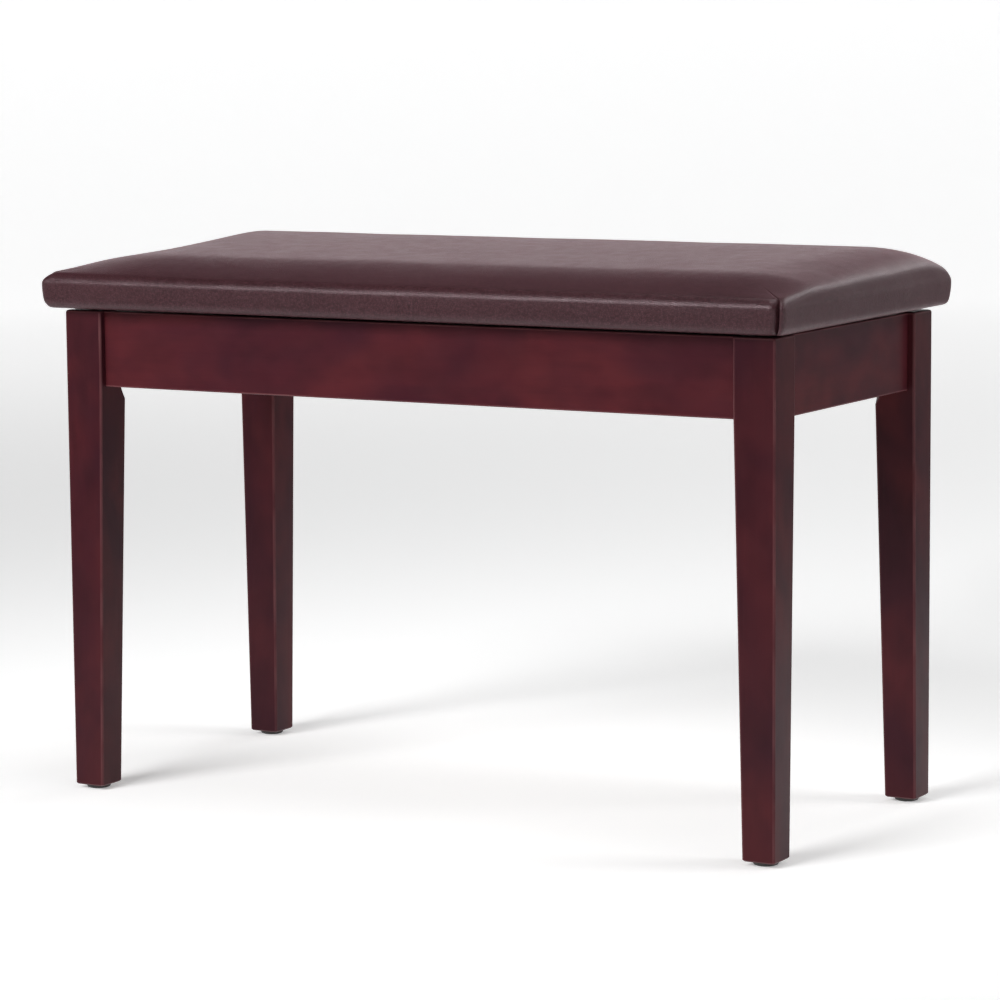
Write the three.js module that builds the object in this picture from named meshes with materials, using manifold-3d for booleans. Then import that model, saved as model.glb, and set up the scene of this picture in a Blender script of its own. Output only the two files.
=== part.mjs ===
import * as THREE from "three";
import { mergeVertices } from "three/addons/utils/BufferGeometryUtils.js";
import Module from "manifold-3d";

// Duet piano bench: four square legs, four aprons around a music compartment, and an
// upholstered lid hinged along the back. Millimetres, +Z up, floor at Z = 0, X along the
// bench, the player's side at negative Y. The origin is on the floor under the middle.

const wasm = await Module();
wasm.setup();

// ---- driving dimensions ----
const GAP = 0.3;

const SEAT_LENGTH = 747;
const SEAT_DEPTH = 356;
const SEAT_UNDERSIDE_Z = 448.7;
const SEAT_BAND_TOP_Z = 475.6;
const CROWN_RISE = 24.4;
const CROWN_END_RUN = 78;
const CROWN_BACK_RUN = 75;
const CROWN_FRONT_RUN = 200;
const SEAT_CORNER_RADIUS = 14;
const COVER_THICKNESS = 1.2;
const COVER_TURN_UNDER = 28;
const BOARD_THICKNESS = 12;
const BOARD_INSET = 7.3;
const DUST_COVER_THICKNESS = 0.8;
const DUST_COVER_INSET = 16;

const FRAME_LENGTH = 716;
const FRAME_DEPTH = 323;
const LEG_TOP_Z = 444;
const LEG_FOOT_Z = 4;
const LEG_TOP_WIDTH = 39;
const LEG_FOOT_WIDTH = 30.5;
const TAPER_START_Z = 385.5;
const LEG_EDGE_RADIUS = 2;
const INNER_CHAMFER = 9;
const CHAMFER_RUNOUT_LOW_Z = 361;
const CHAMFER_RUNOUT_HIGH_Z = 374;

const APRON_BOTTOM_Z = 374.5;
const APRON_TOP_Z = 443.5;
const APRON_THICKNESS = 18;
const APRON_SETBACK = 6.5;
const APRON_EDGE_RADIUS = 1.5;

const CLEAT_WIDTH = 12;
const CLEAT_HEIGHT = 8.2;
const PANEL_THICKNESS = 4.5;

const BLOCK_THICKNESS = 22;
const BLOCK_TOP_Z = 419;
const BOLT_Z = 404;
const BOLT_RADIUS = 4;
const BOLT_DEPTH_IN_LEG = 34;

const GLIDE_RADIUS = 11;
const GLIDE_PIN_RADIUS = 1.7;

const HINGE_CENTRES_X = [-230, 230];
const HINGE_LENGTH = 62;
const HINGE_AXIS_Y = 158.8;
const HINGE_AXIS_Z = 443.9;
const KNUCKLE_RADIUS = 3.4;
const KNUCKLE_COUNT = 5;
const LEAF_THICKNESS = 1.3;
const HINGE_PIN_RADIUS = 1.5;

const STAY_SLOPE = THREE.MathUtils.degToRad(10);
const STAY_ARM_LENGTH = 114;
const STAY_REST_ANGLE = THREE.MathUtils.degToRad(7.6);
const STAY_ARM_WIDTH = 13;
const TRACK_START = 44;
const TRACK_END = 238;
const TRACK_HEIGHT = 14;
const TRACK_DEPTH = 6;
const TRACK_WALL = 1.2;
const PIVOT_RADIUS = 2.5;
const PIVOT_HOLE_RADIUS = 2.65;

const BUMPER_RADIUS = 5;
const BUMPER_HEIGHT = 3;

// ---- sizes that follow from them ----
const HALF_SEAT_X = SEAT_LENGTH / 2;
const HALF_SEAT_Y = SEAT_DEPTH / 2;
const HALF_FRAME_X = FRAME_LENGTH / 2;
const HALF_FRAME_Y = FRAME_DEPTH / 2;
const LEG_INNER_X = HALF_FRAME_X - LEG_TOP_WIDTH;
const LEG_INNER_Y = HALF_FRAME_Y - LEG_TOP_WIDTH;
const BOX_INNER_X = HALF_FRAME_X - APRON_SETBACK - APRON_THICKNESS;
const BOX_INNER_Y = HALF_FRAME_Y - APRON_SETBACK - APRON_THICKNESS;
const CLEAT_BOTTOM_Z = APRON_BOTTOM_Z + 0.5;
const PANEL_BOTTOM_Z = CLEAT_BOTTOM_Z + CLEAT_HEIGHT + GAP;
const BLOCK_BOTTOM_Z = PANEL_BOTTOM_Z + PANEL_THICKNESS + GAP;
const BOARD_BOTTOM_Z = SEAT_UNDERSIDE_Z + COVER_THICKNESS + GAP;
const BOARD_TOP_Z = BOARD_BOTTOM_Z + BOARD_THICKNESS;
const DUST_COVER_TOP_Z = SEAT_UNDERSIDE_Z - GAP;
const LID_FACE_Z = DUST_COVER_TOP_Z - DUST_COVER_THICKNESS;

// ---- materials ----
const satinWood = new THREE.MeshStandardMaterial({ color: "#4c1f26", roughness: 0.38, metalness: 0 });
const plainWood = new THREE.MeshStandardMaterial({ color: "#a98259", roughness: 0.75, metalness: 0 });
const hardboard = new THREE.MeshStandardMaterial({ color: "#5a3527", roughness: 0.7, metalness: 0 });
const leatherette = new THREE.MeshStandardMaterial({ color: "#3d2a2e", roughness: 0.42, metalness: 0 });
const foam = new THREE.MeshStandardMaterial({ color: "#d9d2b8", roughness: 0.95, metalness: 0 });
const blackCloth = new THREE.MeshStandardMaterial({ color: "#1c1b1d", roughness: 0.95, metalness: 0 });
const zincSteel = new THREE.MeshStandardMaterial({ color: "#a9abad", roughness: 0.35, metalness: 1 });
const brass = new THREE.MeshStandardMaterial({ color: "#b8954e", roughness: 0.32, metalness: 1 });
const darkPlastic = new THREE.MeshStandardMaterial({ color: "#201a19", roughness: 0.55, metalness: 0 });
const nylon = new THREE.MeshStandardMaterial({ color: "#e3e0d6", roughness: 0.6, metalness: 0 });
const felt = new THREE.MeshStandardMaterial({ color: "#3a2a22", roughness: 0.98, metalness: 0 });

// ---- scene graph ----
const bench = new THREE.Group();
bench.name = "piano_bench";

function subassembly(name) {
  const group = new THREE.Group();
  group.name = name;
  bench.add(group);
  return group;
}

const understructure = subassembly("understructure");
const fastenings = subassembly("fastenings");
const lid = subassembly("lid");
const lidHardware = subassembly("lid_hardware");

function addPiece(group, name, geometry, material) {
  const mesh = new THREE.Mesh(outward(weld(geometry)), material.clone());
  mesh.name = name;
  group.add(mesh);
  return mesh;
}

// ---- shape helpers ----
function weld(geometry) {
  const bare = geometry.clone();
  bare.deleteAttribute("normal");
  bare.deleteAttribute("uv");
  return mergeVertices(bare, 1e-4);
}

function signedVolume(geometry) {
  const position = geometry.attributes.position;
  const index = geometry.index.array;
  const a = new THREE.Vector3();
  const b = new THREE.Vector3();
  const c = new THREE.Vector3();
  let volume = 0;
  for (let i = 0; i < index.length; i += 3) {
    a.fromBufferAttribute(position, index[i]);
    b.fromBufferAttribute(position, index[i + 1]);
    c.fromBufferAttribute(position, index[i + 2]);
    volume += a.dot(b.cross(c)) / 6;
  }
  return volume;
}

function outward(geometry) {
  if (signedVolume(geometry) < 0) {
    const index = geometry.index.array;
    for (let i = 0; i < index.length; i += 3) {
      const kept = index[i];
      index[i] = index[i + 1];
      index[i + 1] = kept;
    }
  }
  geometry.computeVertexNormals();
  return geometry;
}

function toManifold(geometry) {
  const ready = outward(weld(geometry));
  const mesh = new wasm.Mesh({
    numProp: 3,
    vertProperties: new Float32Array(ready.attributes.position.array),
    triVerts: new Uint32Array(ready.index.array),
  });
  return new wasm.Manifold(mesh);
}

function toGeometry(manifold) {
  const mesh = manifold.getMesh();
  const geometry = new THREE.BufferGeometry();
  const position = new Float32Array(mesh.vertProperties);
  geometry.setAttribute("position", new THREE.BufferAttribute(position, 3));
  geometry.setIndex(new THREE.BufferAttribute(new Uint32Array(mesh.triVerts), 1));
  return geometry;
}

function join(...geometries) {
  return toGeometry(geometries.map(toManifold).reduce((sum, next) => sum.add(next)));
}

function cut(geometry, ...tools) {
  return toGeometry(tools.map(toManifold).reduce((left, tool) => left.subtract(tool), toManifold(geometry)));
}

// A box given by its low and high corners.
function box(low, high) {
  const geometry = new THREE.BoxGeometry(high[0] - low[0], high[1] - low[1], high[2] - low[2]);
  geometry.translate((low[0] + high[0]) / 2, (low[1] + high[1]) / 2, (low[2] + high[2]) / 2);
  return geometry;
}

// A cylinder from one height to another along local Z.
function rod(radius, from, to, segments = 24) {
  const geometry = new THREE.CylinderGeometry(radius, radius, to - from, segments);
  geometry.rotateX(Math.PI / 2);
  geometry.translate(0, 0, (from + to) / 2);
  return geometry;
}

// A turned solid about local Z from radius and height pairs that start and end on the axis.
function turned(profile, segments = 24) {
  const points = profile.map(([radius, height]) => new THREE.Vector2(radius, height));
  const geometry = new THREE.LatheGeometry(points, segments);
  geometry.rotateX(Math.PI / 2);
  return geometry;
}

function roundedRectangle(width, height, radius) {
  const x = width / 2;
  const y = height / 2;
  const shape = new THREE.Shape();
  shape.moveTo(-x + radius, -y);
  shape.lineTo(x - radius, -y);
  shape.absarc(x - radius, -y + radius, radius, -Math.PI / 2, 0, false);
  shape.lineTo(x, y - radius);
  shape.absarc(x - radius, y - radius, radius, 0, Math.PI / 2, false);
  shape.lineTo(-x + radius, y);
  shape.absarc(-x + radius, y - radius, radius, Math.PI / 2, Math.PI, false);
  shape.lineTo(-x, -y + radius);
  shape.absarc(-x + radius, -y + radius, radius, Math.PI, Math.PI * 1.5, false);
  return shape;
}

function polygon(points) {
  return new THREE.Shape(points.map(([x, y]) => new THREE.Vector2(x, y)));
}

function extruded(shape, depth, curveSegments = 4) {
  return new THREE.ExtrudeGeometry(shape, { depth, bevelEnabled: false, curveSegments });
}

// Local X, Y and Z laid along the given world directions, with the local origin at a point.
function placed(geometry, xAxis, yAxis, zAxis, origin) {
  const matrix = new THREE.Matrix4().makeBasis(xAxis, yAxis, zAxis);
  matrix.setPosition(origin);
  return geometry.applyMatrix4(matrix);
}

const UNIT_X = new THREE.Vector3(1, 0, 0);
const UNIT_Y = new THREE.Vector3(0, 1, 0);
const UNIT_Z = new THREE.Vector3(0, 0, 1);

// A closed skin through rings of equal point count, each closed by a fan to its centre.
function loft(rings) {
  const count = rings[0].length;
  const position = rings.flat().flatMap((point) => point.toArray());
  const index = [];
  for (let i = 0; i + 1 < rings.length; i += 1) {
    for (let j = 0; j < count; j += 1) {
      const next = (j + 1) % count;
      const a = i * count + j;
      const b = i * count + next;
      const c = (i + 1) * count + next;
      const d = (i + 1) * count + j;
      index.push(a, b, c, a, c, d);
    }
  }
  const middles = [rings[0], rings[rings.length - 1]].map((ring) => {
    const middle = new THREE.Vector3();
    ring.forEach((point) => middle.add(point));
    return middle.divideScalar(count);
  });
  const first = rings.length * count;
  position.push(...middles[0].toArray(), ...middles[1].toArray());
  for (let j = 0; j < count; j += 1) {
    const next = (j + 1) % count;
    const top = (rings.length - 1) * count;
    index.push(first, next, j);
    index.push(first + 1, top + j, top + next);
  }
  const geometry = new THREE.BufferGeometry();
  geometry.setAttribute("position", new THREE.Float32BufferAttribute(position, 3));
  geometry.setIndex(index);
  return geometry;
}

// ---- the four corners: names and the side of the centre they are on ----
const CORNERS = [
  { name: "front_left", sx: -1, sy: -1 },
  { name: "front_right", sx: 1, sy: -1 },
  { name: "back_left", sx: -1, sy: 1 },
  { name: "back_right", sx: 1, sy: 1 },
];

// Inward diagonal frame at a corner: local Z points from the leg's inner corner to the middle.
function onDiagonal(geometry, corner) {
  const inward = new THREE.Vector3(-corner.sx, -corner.sy, 0).normalize();
  const across = new THREE.Vector3().crossVectors(UNIT_Z, inward);
  const innerCorner = new THREE.Vector3(corner.sx * LEG_INNER_X, corner.sy * LEG_INNER_Y, BOLT_Z);
  return placed(geometry, across, UNIT_Z, new THREE.Vector3().crossVectors(across, UNIT_Z), innerCorner);
}

// ---- legs ----
function legWidth(z) {
  const taper = THREE.MathUtils.clamp((z - LEG_FOOT_Z) / (TAPER_START_Z - LEG_FOOT_Z), 0, 1);
  return THREE.MathUtils.lerp(LEG_FOOT_WIDTH, LEG_TOP_WIDTH, taper);
}

// Points round one corner of the section: an arc, or a straight cut when `straight` is 1.
function cornerPoints(start, end, centre, straight) {
  const steps = 3;
  const points = [];
  for (let k = 0; k <= steps; k += 1) {
    const t = k / steps;
    const chord = start.clone().lerp(end, t);
    const spread = start.clone().sub(centre).length();
    const onArc = start.clone().sub(centre).multiplyScalar(Math.cos((t * Math.PI) / 2));
    onArc.add(end.clone().sub(centre).multiplyScalar(Math.sin((t * Math.PI) / 2)));
    onArc.setLength(spread).add(centre);
    points.push(onArc.lerp(chord, straight));
  }
  return points;
}

function legRing(corner, z, inset, innerCut) {
  const low = inset;
  const high = legWidth(z) - inset;
  const round = LEG_EDGE_RADIUS;
  const inner = Math.max(round, innerCut);
  const straight = innerCut > round ? 1 : 0;
  const v = (x, y) => new THREE.Vector2(x, y);
  const section = [
    ...cornerPoints(v(low, low + round), v(low + round, low), v(low + round, low + round), 0),
    ...cornerPoints(v(high - round, low), v(high, low + round), v(high - round, low + round), 0),
    ...cornerPoints(v(high, high - inner), v(high - inner, high), v(high - inner, high - inner), straight),
    ...cornerPoints(v(low + round, high), v(low, high - round), v(low + round, high - round), 0),
  ];
  const ring = section.map(
    (p) => new THREE.Vector3(corner.sx * (HALF_FRAME_X - p.x), corner.sy * (HALF_FRAME_Y - p.y), z),
  );
  return corner.sx * corner.sy > 0 ? ring : ring.reverse();
}

function legGeometry(corner) {
  const blank = loft([
    legRing(corner, LEG_FOOT_Z, 1.2, 0),
    legRing(corner, LEG_FOOT_Z + 1.2, 0, 0),
    legRing(corner, CHAMFER_RUNOUT_LOW_Z, 0, 0),
    legRing(corner, CHAMFER_RUNOUT_HIGH_Z, 0, INNER_CHAMFER),
    legRing(corner, TAPER_START_Z, 0, INNER_CHAMFER),
    legRing(corner, LEG_TOP_Z - 2, 0, INNER_CHAMFER),
    legRing(corner, LEG_TOP_Z - 0.7, 0.6, INNER_CHAMFER),
    legRing(corner, LEG_TOP_Z, 2, INNER_CHAMFER),
  ]);
  const chamferDistance = -INNER_CHAMFER / Math.SQRT2;
  const boltHole = onDiagonal(
    rod(BOLT_RADIUS + 0.25, chamferDistance - BOLT_DEPTH_IN_LEG - 1, 0, 16),
    corner,
  );
  const pinHole = rod(GLIDE_PIN_RADIUS + 0.3, 0, 16, 12);
  const foot = footCentre(corner);
  pinHole.translate(foot.x, foot.y, 0);
  return cut(blank, boltHole, pinHole);
}

function footCentre(corner) {
  const offset = LEG_FOOT_WIDTH / 2;
  return new THREE.Vector2(corner.sx * (HALF_FRAME_X - offset), corner.sy * (HALF_FRAME_Y - offset));
}

CORNERS.forEach((corner) => {
  addPiece(understructure, `leg_${corner.name}`, legGeometry(corner), satinWood);
});

// ---- aprons: boards standing on edge between the legs ----
function apronBoard(length) {
  const height = APRON_TOP_Z - APRON_BOTTOM_Z;
  const section = roundedRectangle(APRON_THICKNESS, height, APRON_EDGE_RADIUS);
  const geometry = extruded(section, length, 2);
  geometry.translate(0, 0, -length / 2);
  return geometry;
}

const apronMiddleZ = (APRON_BOTTOM_Z + APRON_TOP_Z) / 2;

function longApron(side) {
  const y = side * (HALF_FRAME_Y - APRON_SETBACK - APRON_THICKNESS / 2);
  const board = apronBoard(2 * (LEG_INNER_X - GAP));
  return placed(board, UNIT_Y, UNIT_Z, UNIT_X, new THREE.Vector3(0, y, apronMiddleZ));
}

function endApron(side) {
  const x = side * (HALF_FRAME_X - APRON_SETBACK - APRON_THICKNESS / 2);
  const board = apronBoard(2 * (LEG_INNER_Y - GAP));
  const leftward = UNIT_X.clone().negate();
  return placed(board, leftward, UNIT_Z, UNIT_Y, new THREE.Vector3(x, 0, apronMiddleZ));
}

// The back apron's top edge is let in so that the hinge leaves lie below the lid.
const leafBottomZ = HINGE_AXIS_Z - KNUCKLE_RADIUS;
const hingeRecesses = HINGE_CENTRES_X.map((x) =>
  box([x - HINGE_LENGTH / 2 - 0.5, 120, leafBottomZ - GAP], [x + HINGE_LENGTH / 2 + 0.5, 160, 450]),
);

addPiece(understructure, "apron_front", longApron(-1), satinWood);
addPiece(understructure, "apron_back", cut(longApron(1), ...hingeRecesses), satinWood);
addPiece(understructure, "apron_left", endApron(-1), satinWood);
addPiece(understructure, "apron_right", endApron(1), satinWood);

// ---- floor of the music compartment: a thin panel on strips along all four aprons ----
const cleatTopZ = CLEAT_BOTTOM_Z + CLEAT_HEIGHT;
const cleatEndX = LEG_INNER_X - 3;
const cleatEndY = LEG_INNER_Y - 3;

function longCleat(side) {
  const wall = side * (BOX_INNER_Y - GAP);
  const edge = wall - side * CLEAT_WIDTH;
  return box(
    [-cleatEndX, Math.min(wall, edge), CLEAT_BOTTOM_Z],
    [cleatEndX, Math.max(wall, edge), cleatTopZ],
  );
}

function endCleat(side) {
  const wall = side * (BOX_INNER_X - GAP);
  const edge = wall - side * CLEAT_WIDTH;
  return box(
    [Math.min(wall, edge), -cleatEndY, CLEAT_BOTTOM_Z],
    [Math.max(wall, edge), cleatEndY, cleatTopZ],
  );
}

addPiece(understructure, "cleat_front", longCleat(-1), plainWood);
addPiece(understructure, "cleat_back", longCleat(1), plainWood);
addPiece(understructure, "cleat_left", endCleat(-1), plainWood);
addPiece(understructure, "cleat_right", endCleat(1), plainWood);

const panelX = BOX_INNER_X - 0.5;
const panelY = BOX_INNER_Y - 0.5;
const notchX = LEG_INNER_X - 1;
const notchY = LEG_INNER_Y - 1;
const panelOutline = polygon([
  [-notchX, -panelY], [notchX, -panelY], [notchX, -notchY], [panelX, -notchY],
  [panelX, notchY], [notchX, notchY], [notchX, panelY], [-notchX, panelY],
  [-notchX, notchY], [-panelX, notchY], [-panelX, -notchY], [-notchX, -notchY],
]);
const panel = extruded(panelOutline, PANEL_THICKNESS);
panel.translate(0, 0, PANEL_BOTTOM_Z);
addPiece(understructure, "bottom_panel", panel, hardboard);

// ---- corner blocks, each drawn to its leg by a hanger bolt, a washer and a wing nut ----
const blockBackFace = -2.7;
const blockFrontFace = blockBackFace + BLOCK_THICKNESS * Math.SQRT2;
const blockReach = LEG_TOP_WIDTH - APRON_SETBACK - APRON_THICKNESS - GAP;
const blockFrontDistance = blockFrontFace / Math.SQRT2;

function blockGeometry(corner) {
  const inward = (u, v) => [corner.sx * (LEG_INNER_X - u), corner.sy * (LEG_INNER_Y - v)];
  const outline = polygon([
    inward(blockBackFace + blockReach, -blockReach),
    inward(blockFrontFace + blockReach, -blockReach),
    inward(-blockReach, blockFrontFace + blockReach),
    inward(-blockReach, blockBackFace + blockReach),
  ]);
  const geometry = extruded(outline, BLOCK_TOP_Z - BLOCK_BOTTOM_Z);
  geometry.translate(0, 0, BLOCK_BOTTOM_Z);
  return cut(geometry, onDiagonal(rod(BOLT_RADIUS + 0.5, -10, 40, 16), corner));
}

const washerFrom = blockFrontDistance + GAP;
const washerTo = washerFrom + 1.6;
const nutFrom = washerTo + GAP;
const boltFrom = -INNER_CHAMFER / Math.SQRT2 - BOLT_DEPTH_IN_LEG;
const boltTo = nutFrom + 15;

function boltGeometry() {
  return turned([
    [0, boltFrom], [1.5, boltFrom], [BOLT_RADIUS, boltFrom + 5],
    [BOLT_RADIUS, boltTo - 1], [BOLT_RADIUS - 1, boltTo], [0, boltTo],
  ], 16);
}

function washerGeometry() {
  return cut(rod(10, washerFrom, washerTo, 24), rod(BOLT_RADIUS + 0.4, washerFrom - 5, washerTo + 5, 16));
}

function wingNutGeometry() {
  const boss = turned([
    [0, nutFrom], [8, nutFrom], [7.4, nutFrom + 2], [6, nutFrom + 8], [0, nutFrom + 8],
  ], 20);
  const wing = new THREE.Shape();
  wing.moveTo(4.4, nutFrom + 1.5);
  wing.quadraticCurveTo(10, nutFrom + 1.5, 13, nutFrom + 6);
  wing.quadraticCurveTo(17, nutFrom + 13, 12.5, nutFrom + 14);
  wing.quadraticCurveTo(9, nutFrom + 14, 7, nutFrom + 7);
  wing.lineTo(4.4, nutFrom + 6.5);
  const oneWing = extruded(wing, 2.4, 5);
  oneWing.translate(0, 0, -1.2);
  const upright = placed(oneWing, UNIT_X, UNIT_Z, UNIT_Y.clone().negate(), new THREE.Vector3());
  const otherWing = upright.clone().rotateZ(Math.PI);
  return cut(join(boss, upright, otherWing), rod(BOLT_RADIUS + 0.2, nutFrom - 5, nutFrom + 20, 16));
}

CORNERS.forEach((corner) => {
  addPiece(understructure, `corner_block_${corner.name}`, blockGeometry(corner), plainWood);
  addPiece(fastenings, `hanger_bolt_${corner.name}`, onDiagonal(boltGeometry(), corner), zincSteel);
  addPiece(fastenings, `washer_${corner.name}`, onDiagonal(washerGeometry(), corner), zincSteel);
  addPiece(fastenings, `wing_nut_${corner.name}`, onDiagonal(wingNutGeometry(), corner), zincSteel);
});

// ---- nail-in glides under the legs ----
function glideGeometry(corner) {
  const geometry = turned([
    [0, 0], [8.5, 0], [10.4, 0.7], [GLIDE_RADIUS, 2], [GLIDE_RADIUS, LEG_FOOT_Z - GAP],
    [GLIDE_PIN_RADIUS, LEG_FOOT_Z - GAP], [GLIDE_PIN_RADIUS, 12], [0, 14.5],
  ]);
  const foot = footCentre(corner);
  geometry.translate(foot.x, foot.y, 0);
  return geometry;
}

CORNERS.forEach((corner) => {
  addPiece(fastenings, `glide_${corner.name}`, glideGeometry(corner), darkPlastic);
});

// ---- felt bumpers on the leg tops, under the closed lid ----
CORNERS.forEach((corner) => {
  const pad = rod(BUMPER_RADIUS, LEG_TOP_Z + GAP, LEG_TOP_Z + GAP + BUMPER_HEIGHT, 16);
  const middle = LEG_TOP_WIDTH / 2;
  pad.translate(corner.sx * (HALF_FRAME_X - middle), corner.sy * (HALF_FRAME_Y - middle), 0);
  addPiece(fastenings, `bumper_${corner.name}`, pad, felt);
});

// ---- upholstered lid ----
// Share of the full crown reached at a distance from an edge.
function rise(distance, run, power) {
  const left = 1 - THREE.MathUtils.clamp(distance / run, 0, 1);
  return 1 - left ** power;
}

// Height of the cover's outer surface: quick to rise at the ends and back, slow from the front.
function crownZ(x, y) {
  const end = rise(HALF_SEAT_X - Math.abs(x) - 3, CROWN_END_RUN, 2);
  const back = rise(HALF_SEAT_Y - y - 3, CROWN_BACK_RUN, 2);
  const front = rise(HALF_SEAT_Y + y - 3, CROWN_FRONT_RUN, 1.25);
  return SEAT_BAND_TOP_Z + CROWN_RISE * Math.sqrt(end * back * front);
}

// A rounded rectangle at an inset from the seat's outline, with points spread along its sides.
function seatRing(inset, height) {
  const x = HALF_SEAT_X - inset;
  const y = HALF_SEAT_Y - inset;
  const radius = Math.max(SEAT_CORNER_RADIUS - inset, 2);
  const ring = [];
  const sides = [
    { cx: x - radius, cy: y - radius, start: 0, steps: 14, dx: -2 * (x - radius), dy: 0 },
    { cx: -x + radius, cy: y - radius, start: 90, steps: 8, dx: 0, dy: -2 * (y - radius) },
    { cx: -x + radius, cy: -y + radius, start: 180, steps: 14, dx: 2 * (x - radius), dy: 0 },
    { cx: x - radius, cy: -y + radius, start: 270, steps: 8, dx: 0, dy: 2 * (y - radius) },
  ];
  sides.forEach((side) => {
    for (let k = 0; k <= 4; k += 1) {
      const angle = THREE.MathUtils.degToRad(side.start + k * 22.5);
      ring.push(new THREE.Vector2(side.cx + radius * Math.cos(angle), side.cy + radius * Math.sin(angle)));
    }
    const last = ring[ring.length - 1].clone();
    for (let k = 1; k < side.steps; k += 1) {
      const t = k / side.steps;
      ring.push(new THREE.Vector2(last.x + side.dx * t, last.y + side.dy * t));
    }
  });
  return ring.map((p) => new THREE.Vector3(p.x, p.y, height));
}

// Rings over the crown, from the edge to the middle, a given depth below the cover's surface.
function crownRings(below) {
  const insets = [6, 10, 16, 26, 40, 58, 80];
  const rings = insets.map((inset) => seatRing(inset, 0));
  const innermost = rings[rings.length - 1];
  [0.75, 0.5, 0.25].forEach((scale) => {
    rings.push(innermost.map((p) => new THREE.Vector3(p.x * scale, p.y * scale, 0)));
  });
  return rings.map((ring) => ring.map((p) => new THREE.Vector3(p.x, p.y, crownZ(p.x, p.y) - below)));
}

// Outer side of the cover from the edge of the turn-under to the top of the band.
const bandProfile = [
  [COVER_TURN_UNDER, SEAT_UNDERSIDE_Z],
  [6.5, SEAT_UNDERSIDE_Z],
  [4.6, SEAT_UNDERSIDE_Z + 0.7],
  [3.5, SEAT_UNDERSIDE_Z + 2.3],
  [2.9, SEAT_UNDERSIDE_Z + 5],
  [1.3, SEAT_UNDERSIDE_Z + 14],
  [0.2, SEAT_UNDERSIDE_Z + 20],
  [0, SEAT_UNDERSIDE_Z + 22.3],
  [0.9, SEAT_UNDERSIDE_Z + 25],
  [2.8, SEAT_BAND_TOP_Z + 1.6],
];
const liningProfile = [
  [COVER_TURN_UNDER, SEAT_UNDERSIDE_Z + COVER_THICKNESS],
  [6.9, SEAT_UNDERSIDE_Z + COVER_THICKNESS],
  [5.6, SEAT_UNDERSIDE_Z + 1.7],
  [4.8, SEAT_UNDERSIDE_Z + 2.9],
  [4.1, SEAT_UNDERSIDE_Z + 5.2],
  [2.5, SEAT_UNDERSIDE_Z + 14],
  [1.4, SEAT_UNDERSIDE_Z + 20],
  [1.2, SEAT_UNDERSIDE_Z + 22],
  [2, SEAT_UNDERSIDE_Z + 24.2],
  [3.6, SEAT_BAND_TOP_Z + 0.5],
];
const coverRings = [
  ...crownRings(COVER_THICKNESS + 0.1).reverse(),
  ...liningProfile.map(([inset, z]) => seatRing(inset, z)).reverse(),
  ...bandProfile.map(([inset, z]) => seatRing(inset, z)),
  ...crownRings(0),
];
addPiece(lid, "seat_cover", loft(coverRings), leatherette);

const foamRings = [
  [3.2, BOARD_TOP_Z + GAP],
  [2.2, SEAT_UNDERSIDE_Z + 18],
  [1.7, SEAT_UNDERSIDE_Z + 22],
  [2.9, SEAT_UNDERSIDE_Z + 23.8],
  [4.6, SEAT_BAND_TOP_Z - 1.4],
].map(([inset, z]) => seatRing(inset, z));
addPiece(lid, "seat_foam", loft([...foamRings, ...crownRings(COVER_THICKNESS + 1.4)]), foam);

const boardOutline = roundedRectangle(SEAT_LENGTH - 2 * BOARD_INSET, SEAT_DEPTH - 2 * BOARD_INSET, 10);
const board = extruded(boardOutline, BOARD_THICKNESS, 4);
board.translate(0, 0, BOARD_BOTTOM_Z);
addPiece(lid, "seat_board", board, plainWood);

const dustOutline = roundedRectangle(SEAT_LENGTH - 2 * DUST_COVER_INSET, SEAT_DEPTH - 2 * DUST_COVER_INSET, 6);
const dustCover = extruded(dustOutline, DUST_COVER_THICKNESS, 3);
dustCover.translate(0, 0, LID_FACE_Z);
addPiece(lid, "dust_cover", dustCover, blackCloth);

// ---- butt hinges: one leaf on the back apron, one under the lid, a pin through both ----
const knucklePitch = HINGE_LENGTH / KNUCKLE_COUNT;
const leafBackY = HINGE_AXIS_Y - KNUCKLE_RADIUS - 0.8;

function alongHingeAxis(geometry, x) {
  return placed(geometry, UNIT_Y, UNIT_Z, UNIT_X, new THREE.Vector3(x, HINGE_AXIS_Y, HINGE_AXIS_Z));
}

function leafGeometry(centreX, lowZ, frontY, ownKnuckles) {
  const half = HINGE_LENGTH / 2;
  const highZ = lowZ + LEAF_THICKNESS;
  const pieces = [box([centreX - half, frontY, lowZ], [centreX + half, leafBackY, highZ])];
  ownKnuckles.forEach((place) => {
    const from = centreX - half + place * knucklePitch + 0.15;
    const to = from + knucklePitch - 0.3;
    pieces.push(box([from, leafBackY - 1, lowZ], [to, HINGE_AXIS_Y, highZ]));
    pieces.push(alongHingeAxis(rod(KNUCKLE_RADIUS, from, to, 20), 0));
  });
  const screwHoles = [-20, 0, 20].map((offset) => {
    const hole = rod(1.9, lowZ - 3, highZ + 3, 12);
    return hole.translate(centreX + offset, (frontY + leafBackY) / 2, 0);
  });
  const pinHole = alongHingeAxis(rod(HINGE_PIN_RADIUS + 0.2, -half - 5, half + 5, 20), centreX);
  return cut(join(...pieces), pinHole, ...screwHoles);
}

function hingePinGeometry(centreX) {
  const half = HINGE_LENGTH / 2;
  return alongHingeAxis(turned([
    [0, -half - 1.8], [2.1, -half - 1.8], [2.7, -half - 1], [2.7, -half - GAP],
    [HINGE_PIN_RADIUS, -half - GAP], [HINGE_PIN_RADIUS, half + GAP],
    [2.7, half + GAP], [2.7, half + 1], [2.1, half + 1.8], [0, half + 1.8],
  ], 20), centreX);
}

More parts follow.
